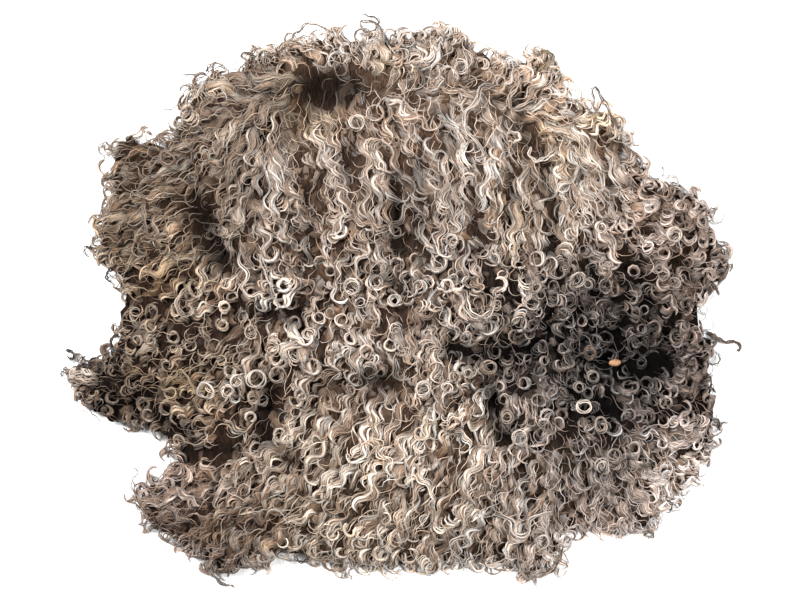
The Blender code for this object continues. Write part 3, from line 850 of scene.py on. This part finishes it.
def smoothRoute(corners, points):  # a smooth curve through the corners, in even steps
    c = np.array(corners, float)
    c = np.vstack([2 * c[0] - c[1], c, 2 * c[-1] - c[-2]])
    t = np.linspace(0, 1, 12)[:, None]
    legs = []
    for i in range(1, len(c) - 2):
        bend = 2 * c[i - 1] - 5 * c[i] + 4 * c[i + 1] - c[i + 2]
        twist = 3 * c[i] - c[i - 1] - 3 * c[i + 1] + c[i + 2]
        legs.append(c[i] + 0.5 * ((c[i + 1] - c[i - 1]) * t + bend * t**2 + twist * t**3))
    path = np.vstack(legs)
    run = np.concatenate([[0], np.cumsum(np.hypot(*np.diff(path, axis=0).T))])
    even = np.linspace(0, run[-1], points)
    return np.stack([np.interp(even, run, path[:, 0]), np.interp(even, run, path[:, 1])], axis=1)


def ringRoute(x, y, radius, corners=14):  # an open, slightly squashed ring that winds inwards
    start, turns, squash = wool.uniform(0, math.tau), wool.uniform(0.75, 1.5), wool.uniform(0, 0.16)
    around = start + np.linspace(0, math.tau * turns, corners)
    shrunk = radius * np.linspace(1.0, 0.74, corners) * (1 + squash * np.sin(2 * around + start))
    return np.stack([x + shrunk * np.cos(around), y + shrunk * np.sin(around)], axis=1)


shades = {"cream": (0.79, 0.73, 0.68), "tan": (0.64, 0.57, 0.51), "brown": (0.48, 0.40, 0.34),
          "dark": (0.25, 0.20, 0.17), "ochre": (0.60, 0.51, 0.39), "grey": (0.56, 0.51, 0.47)}

# single strands that stand out, each as its shade, half thickness, how wide and how many run together,
# and the places it goes through, in metres
wisps = [
    ("brown", 0.0011, 0.0005, 2, ((-.178, .268), (-.181, .284), (-.187, .290), (-.185, .295),
     (-.175, .294), (-.171, .299), (-.173, .303), (-.178, .303))),
    ("tan", 0.0008, 0.0010, 2, ((-.238, .252), (-.241, .260), (-.236, .265), (-.226, .266), (-.218, .262),
     (-.216, .256))),
    ("brown", 0.0007, 0.0004, 1, ((-.258, .271), (-.249, .269), (-.239, .272), (-.231, .273),
     (-.228, .270), (-.220, .276), (-.211, .279), (-.203, .276))),
    ("tan", 0.0009, 0.0008, 2, ((-.229, .272), (-.228, .278), (-.222, .282), (-.214, .283), (-.208, .279),
     (-.206, .270))),
    ("brown", 0.0006, 0.0004, 1, ((-.245, .256), (-.255, .247), (-.261, .237), (-.263, .230),
     (-.272, .228), (-.282, .230))),
    ("tan", 0.0009, 0.0008, 2, ((-.226, .262), (-.233, .251), (-.238, .241), (-.247, .232),
     (-.253, .225))),
    ("brown", 0.0011, 0.0010, 2, ((-.160, .284), (-.155, .290), (-.145, .293), (-.137, .299),
     (-.129, .303), (-.116, .304))),
    ("tan", 0.0009, 0.0010, 2, ((-.130, .312), (-.122, .308), (-.116, .314), (-.107, .312),
     (-.100, .304))),
    ("tan", 0.0006, 0.0008, 2, ((-.122, .318), (-.116, .324), (-.112, .329), (-.103, .331), (-.095, .327),
     (-.086, .322), (-.084, .314), (-.088, .304))),
    ("tan", 0.0012, 0.0008, 2, ((-.052, .288), (-.050, .304), (-.054, .313), (-.050, .321), (-.042, .323),
     (-.036, .319), (-.041, .315), (-.049, .318))),
    ("tan", 0.0012, 0.0012, 2, ((-.022, .292), (-.021, .306), (-.022, .318), (-.026, .327), (-.032, .332),
     (-.041, .331), (-.046, .333), (-.045, .326), (-.042, .318))),
    ("grey", 0.0010, 0.0008, 2, ((-.036, .318), (-.029, .324), (-.025, .332), (-.030, .337),
     (-.038, .339), (-.045, .342))),
    ("brown", 0.0006, 0.0014, 3, ((.262, .196), (.256, .206), (.250, .217), (.245, .231), (.238, .243),
     (.232, .253), (.229, .254), (.227, .248), (.230, .239), (.227, .230), (.231, .225), (.236, .230),
     (.238, .240))),
    ("dark", 0.0007, 0.0006, 1, ((.198, .228), (.205, .227), (.212, .225), (.219, .227), (.226, .228))),
    ("brown", 0.0006, 0.0004, 1, ((.188, .241), (.196, .239), (.203, .236), (.208, .231))),
    ("ochre", 0.0010, 0.0022, 4, ((.166, .262), (.163, .270), (.168, .277), (.176, .284), (.180, .291),
     (.175, .295), (.167, .296), (.157, .291))),
    ("brown", 0.0008, 0.0012, 2, ((.374, .022), (.384, .036), (.388, .043), (.391, .045), (.392, .041),
     (.388, .036))),
    ("brown", 0.0012, 0.0018, 4, ((.362, -.036), (.372, -.040), (.379, -.044), (.386, -.048),
     (.391, -.046), (.397, -.046), (.402, -.050), (.402, -.055), (.397, -.058))),
    ("grey", 0.0009, 0.0008, 2, ((.365, -.072), (.373, -.073), (.377, -.067), (.375, -.061),
     (.370, -.058))),
    ("tan", 0.0011, 0.0006, 2, ((.362, -.158), (.371, -.156), (.378, -.153), (.379, -.147), (.380, -.143),
     (.389, -.141))),
    ("grey", 0.0011, 0.0014, 3, ((-.226, -.312), (-.220, -.321), (-.213, -.330), (-.204, -.333),
     (-.195, -.335))),
    ("brown", 0.0008, 0.0010, 2, ((-.306, -.246), (-.311, -.235), (-.314, -.222), (-.316, -.209),
     (-.310, -.201), (-.317, -.192))),
    ("dark", 0.0011, 0.0006, 2, ((-.395, -.0575), (-.391, -.0560), (-.386, -.0590), (-.385, -.0650),
     (-.390, -.0670), (-.393, -.0620))),
    ("dark", 0.0012, 0.0008, 2, ((-.380, -.086), (-.378, -.080), (-.375, -.074), (-.369, -.072),
     (-.362, -.076))),
    ("dark", 0.0012, 0.0010, 2, ((-.364, -.084), (-.366, -.077), (-.361, -.070), (-.354, -.073),
     (-.354, -.080))),
    ("tan", 0.0012, 0.0036, 4, ((-.352, -.094), (-.364, -.092), (-.374, -.088), (-.383, -.086),
     (-.391, -.083), (-.396, -.079), (-.392, -.076))),
    ("cream", 0.0012, 0.0030, 4, ((-.354, -.088), (-.362, -.083), (-.371, -.080), (-.379, -.083),
     (-.386, -.088), (-.394, -.088))),
    ("brown", 0.0012, 0.0022, 3, ((-.358, -.100), (-.366, -.094), (-.376, -.092), (-.385, -.091),
     (-.393, -.083), (-.387, -.078))),
    ("grey", 0.0008, 0.0008, 2, ((-.394, -.088), (-.388, -.094), (-.379, -.097), (-.371, -.094),
     (-.362, -.097))),
    ("grey", 0.0008, 0.0002, 1, ((-.399, -.081), (-.4005, -.084), (-.399, -.088))),
    ("dark", 0.0008, 0.0006, 1, ((-.368, -.112), (-.364, -.122), (-.359, -.132), (-.354, -.138),
     (-.358, -.148))),
    ("cream", 0.0012, 0.0020, 3, ((-.064, -.296), (-.062, -.306), (-.066, -.316), (-.069, -.326))),
    ("cream", 0.0010, 0.0012, 2, ((-.058, -.300), (-.057, -.312), (-.060, -.320), (-.057, -.328))),
    ("ochre", 0.0010, 0.0012, 2, ((-.012, -.298), (-.008, -.307), (-.009, -.316))),
    ("dark", 0.0011, 0.0012, 2, ((-.108, -.292), (-.108, -.301), (-.115, -.307), (-.122, -.302),
     (-.121, -.295))),
    ("tan", 0.0011, 0.0030, 3, ((.187, -.280), (.188, -.296), (.180, -.313), (.169, -.320), (.157, -.324),
     (.152, -.318))),
    ("tan", 0.0011, 0.0020, 3, ((.140, -.290), (.141, -.304), (.145, -.320), (.151, -.326),
     (.158, -.320))),
    ("cream", 0.0011, 0.0008, 2, ((.180, -.262), (.189, -.269), (.196, -.264), (.204, -.259),
     (.213, -.264), (.223, -.277))),
    ("cream", 0.0015, 0.0022, 3, ((.104, -.243), (.118, -.246), (.131, -.253), (.131, -.266),
     (.141, -.271), (.149, -.264), (.149, -.250), (.160, -.244), (.178, -.243))),
    ("cream", 0.0014, 0.0014, 2, ((.086, -.268), (.076, -.272), (.062, -.276), (.059, -.285),
     (.064, -.294), (.072, -.302), (.074, -.312))),
    ("tan", 0.0009, 0.0010, 2, ((.290, -.262), (.297, -.270), (.300, -.276), (.292, -.278))),
    ("dark", 0.0008, 0.0006, 1, ((.310, -.228), (.316, -.232), (.321, -.237), (.319, -.245),
     (.312, -.247))),
    ("brown", 0.0008, 0.0008, 2, ((-.338, .176), (-.347, .189), (-.356, .182), (-.352, .174))),
    ("dark", 0.0009, 0.0010, 2, ((-.362, .062), (-.370, .066), (-.373, .060), (-.367, .054))),
    ("dark", 0.0012, 0.0010, 2, ((-.336, .040), (-.344, .036), (-.346, .028), (-.340, .024))),
    ("dark", 0.0012, 0.0012, 3, ((-.330, -.038), (-.338, -.042), (-.340, -.050), (-.333, -.056),
     (-.324, -.054))),
    ("brown", 0.0012, 0.0012, 2, ((-.293, .163), (-.278, .163), (-.268, .159), (-.261, .163),
     (-.264, .170), (-.269, .174), (-.276, .176), (-.280, .169), (-.276, .163))),
    ("brown", 0.0011, 0.0022, 3, ((-.298, .125), (-.297, .110), (-.294, .094), (-.291, .079),
     (-.284, .077), (-.276, .080))),
    ("tan", 0.0012, 0.0026, 3, ((-.241, .017), (-.251, .011), (-.256, .001), (-.254, -.009),
     (-.246, -.016), (-.239, -.009), (-.245, .000))),
    ("cream", 0.0015, 0.0014, 2, ((-.186, .060), (-.184, .044), (-.174, .034), (-.182, .018),
     (-.175, .008), (-.162, .011), (-.157, .002))),
    ("cream", 0.0014, 0.0016, 2, ((-.164, .062), (-.154, .038), (-.146, .012), (-.139, -.005),
     (-.145, -.008))),
    ("ochre", 0.0012, 0.0010, 2, ((-.276, -.098), (-.262, -.087), (-.252, -.077), (-.244, -.088),
     (-.237, -.099), (-.240, -.108))),
    ("cream", 0.0016, 0.0026, 4, ((.112, .249), (.095, .250), (.087, .228), (.075, .217), (.077, .197),
     (.093, .179), (.095, .167), (.085, .163))),
    ("tan", 0.0015, 0.0030, 4, ((.160, .238), (.144, .228), (.130, .224), (.126, .236), (.133, .248),
     (.143, .262))),
    ("cream", 0.0013, 0.0010, 2, ((.123, .197), (.133, .197), (.139, .191), (.133, .185), (.125, .187))),
    ("cream", 0.0013, 0.0018, 3, ((.183, .178), (.170, .168), (.158, .163), (.150, .171), (.151, .181))),
    ("cream", 0.0011, 0.0036, 3, ((.073, .016), (.077, -.006), (.090, -.017), (.103, -.012),
     (.107, .003))),
]

# curls seen as rings: shade, place and radius in metres
loops = [
    ("cream", -.049, .207, .0095), ("cream", -.223, -.101, .0110), ("cream", -.198, -.102, .0075),
    ("cream", -.187, -.091, .0070), ("cream", -.166, -.088, .0105), ("tan", -.142, -.084, .0105),
    ("cream", .166, -.278, .0095), ("cream", -.056, .017, .0095), ("cream", .026, -.100, .0095),
    ("cream", .054, -.097, .0072), ("tan", .063, -.085, .0072), ("cream", .079, -.081, .0062),
    ("tan", .103, -.075, .0095), ("tan", .124, -.132, .0080), ("cream", .138, -.157, .0092),
    ("cream", .213, -.120, .0082), ("grey", .224, -.086, .0075), ("tan", .231, -.140, .0090),
    ("brown", .220, -.057, .0072), ("grey", .207, -.099, .0070), ("tan", .107, -.019, .0072),
    ("tan", .111, -.003, .0066), ("tan", .157, .017, .0066), ("cream", .231, .086, .0080),
    ("cream", .316, .077, .0095), ("tan", .237, .037, .0072), ("grey", .216, .022, .0072),
    ("grey", -.380, -.064, .0042), ("tan", -.376, -.085, .0060), ("cream", -.384, -.084, .0050),
    ("tan", .352, .094, .0078), ("cream", .232, -.190, .0095), ("tan", .246, -.176, .0085),
]


wispSizes = {"points": 26, "ringStrands": 3, "ringThick": 0.0011, "shake": 0.0007, "stray": 0.0006,
             "weave": 0.0007, "lift": 0.0035, "sway": 0.0020, "bury": 0.012, "thick": (0.0008, 0.0012)}


def layWisps(sizes, finish):  # the strands and rings that stand out, laid over the locks one by one
    points = sizes["points"]
    lots = []
    for shade, thick, wide, number, corners in wisps:
        route = smoothRoute(corners, points)
        lots += [(shade, thick, wide * side, route) for side in np.linspace(-1, 1, number)]
    for shade, x, y, radius in loops:
        for turn in range(sizes["ringStrands"]):
            shake = wool.normal(0, sizes["shake"], 2)
            route = ringRoute(x + shake[0], y + shake[1], radius * wool.uniform(0.75, 1.08))
            thick = sizes["ringThick"] * wool.uniform(0.7, 1.2)
            lots.append((shade, thick, 0.0, smoothRoute(route, points)))
    count = len(lots)
    place, tint = np.zeros((count, points, 3)), np.zeros((count, points, 3))
    widest = np.zeros(count)
    share = np.linspace(0, 1, points)
    for i, (shade, thick, side, route) in enumerate(lots):
        aim = np.gradient(route, axis=0)
        aim /= np.linalg.norm(aim, axis=1)[:, None]
        beat = math.tau * (2 * share + wool.uniform(0, 1))
        across = side * (1 - 0.6 * share) + sizes["stray"] * np.sin(beat)
        weave = sizes["weave"] * np.sign(thick * abs(side))
        across = across + weave * np.sin(math.tau * (4.5 * share + wool.uniform(0, 1)))
        place[i, :, 0] = route[:, 0] - across * aim[:, 1]
        place[i, :, 1] = route[:, 1] + across * aim[:, 0]
        lift = sizes["lift"] + sizes["sway"] * np.sin(math.tau * (1.5 * share + wool.uniform(0, 1)))
        ground = lookUp("soft", place[i, :, 0], place[i, :, 1])
        place[i, :, 2] = ground + lift - sizes["bury"] * np.clip(1 - share * 5, 0, 1)
        widest[i] = np.clip(thick, *sizes["thick"]) * wool.uniform(0.75, 1.25)
        vary = wool.uniform(0.45, 1.0) * (1 + 0.20 * np.sin(math.tau * (share * 1.7 + wool.uniform(0, 1))))
        past = np.clip(-lookUp("inward", place[i, :, 0], place[i, :, 1]) / 0.006, 0, 1)
        toneAndRimShade = vary * (1 - 0.25 * past)  # painted shade: a little darker where it stands past the rim
        tint[i] = np.clip(tone(*shades[shade])[None] * toneAndRimShade[:, None], 0.004, 1)
    radii = strandRadii(widest, points, 0.6, 0.7)
    return sweepStrands("wisps", keepAboveFloor(place, radii), radii, tint, 3, finish)


fleckSizes = {"at": (0.2492, -0.0697), "half": (0.0072, 0.0041, 0.0030), "turned": 4, "lift": 0.004,
              "tan": (0.63, 0.46, 0.33)}


def makeFleck(sizes):  # a single oval bit of dry chaff that lies on the dark wool
    bm = bmesh.new()
    bmesh.ops.create_uvsphere(bm, u_segments=24, v_segments=14, radius=1.0)
    bmesh.ops.scale(bm, vec=sizes["half"], verts=bm.verts)
    turn = Matrix.Rotation(math.radians(sizes["turned"]), 3, "Z")
    bmesh.ops.rotate(bm, cent=(0, 0, 0), matrix=turn, verts=bm.verts)
    x, y = sizes["at"]
    top = float(lookUp("soft", np.array([x]), np.array([y]))[0])
    bmesh.ops.translate(bm, vec=(x, y, top + sizes["lift"]), verts=bm.verts)
    mesh = bpy.data.meshes.new("fleck")
    bm.to_mesh(mesh)
    bm.free()
    mesh.shade_smooth()
    material, nodes, link, shader = newFinish("dryChaff", {"Roughness": 0.6})
    place = newNode(nodes, "ShaderNodeTexCoord")
    noise = newNode(nodes, "ShaderNodeTexNoise", {"Scale": 500.0})
    link(place.outputs["Object"], noise.inputs["Vector"])
    ramp = newNode(nodes, "ShaderNodeValToRGB")
    for element, position, factor in zip(ramp.color_ramp.elements, (0.3, 0.7), (0.55, 1.0)):
        element.position = position
        element.color = (*tone(*sizes["tan"]) * factor, 1)
    link(noise.outputs["Fac"], ramp.inputs["Fac"])
    link(ramp.outputs["Color"], shader.inputs["Base Color"])
    mesh.materials.append(material)
    print("fleck triangles", countTriangles(mesh))
    return addObject("fleck", mesh)


stageSizes = {"floor": 24, "paper": (0.86, 0.86, 0.86, 1), "glow": 0.16, "lens": 85,
              "camera": (0.0, 0.003, 2.235)}
lamps = [("key", (-1.3, 1.0, 1.7), 0.8, 120), ("side", (1.4, -0.3, 1.8), 0.9, 66)]  # place, size, watts


def makeStage():
    bpy.ops.mesh.primitive_plane_add(size=stageSizes["floor"], location=(0, 0, 0))
    floor = bpy.context.object
    floor.name = "floor"
    paper = newFinish("paper", {"Base Color": stageSizes["paper"], "Roughness": 0.9})[0]
    floor.data.materials.append(paper)
    world = bpy.data.worlds.new("studio")
    bpy.context.scene.world = world
    world.use_nodes = True
    backdrop = world.node_tree.nodes["Background"]
    backdrop.inputs["Color"].default_value = (1, 1, 1, 1)
    backdrop.inputs["Strength"].default_value = stageSizes["glow"]
    for name, place, size, watts in lamps:
        light = bpy.data.lights.new(name, "AREA")
        light.size = size
        light.energy = watts
        lamp = addObject(name, light)
        lamp.location = place
        lamp.rotation_euler = Vector(place).to_track_quat("Z", "Y").to_euler()
    lens = bpy.data.cameras.new("camera")
    lens.lens = stageSizes["lens"]
    camera = addObject("camera", lens)
    camera.location = stageSizes["camera"]
    bpy.context.scene.camera = camera
    bpy.context.scene.view_settings.view_transform = "Standard"
    print("stage set with", len(lamps), "lamps")


makeStage()
bed = makeBed()
lockFinish = woolFinish("lockWool", around=6.0)
bodyFinish = woolFinish("softWool", around=20.0, rough=0.7, streak=0.80, gloss=0.10)
pieces = []
for sizes in lockSets:
    locks = growLocks(sizes)
    for label, shortest, longest, points in sizes["strands"]:
        chosen = someLocks(locks, (locks["length"] >= shortest) & (locks["length"] < longest))
        strands = drawStrands(chosen, sizes, points)
        pieces.append(sweepStrands(sizes["name"] + label, *strands, 3, lockFinish))
    if sizes["body"]:
        pieces.append(sweepStrands(sizes["name"] + "Bodies", *drawBodies(locks, sizes), 5, bodyFinish))
pieces.append(makeRinglets(ringletSizes, lockFinish))
pieces.append(makeFuzz(fuzzSizes, lockFinish))
pieces.append(layWisps(wispSizes, lockFinish))
pieces.append(makeFleck(fleckSizes))

for piece in [bed] + pieces:
    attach(piece, "root")
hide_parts("fleece")
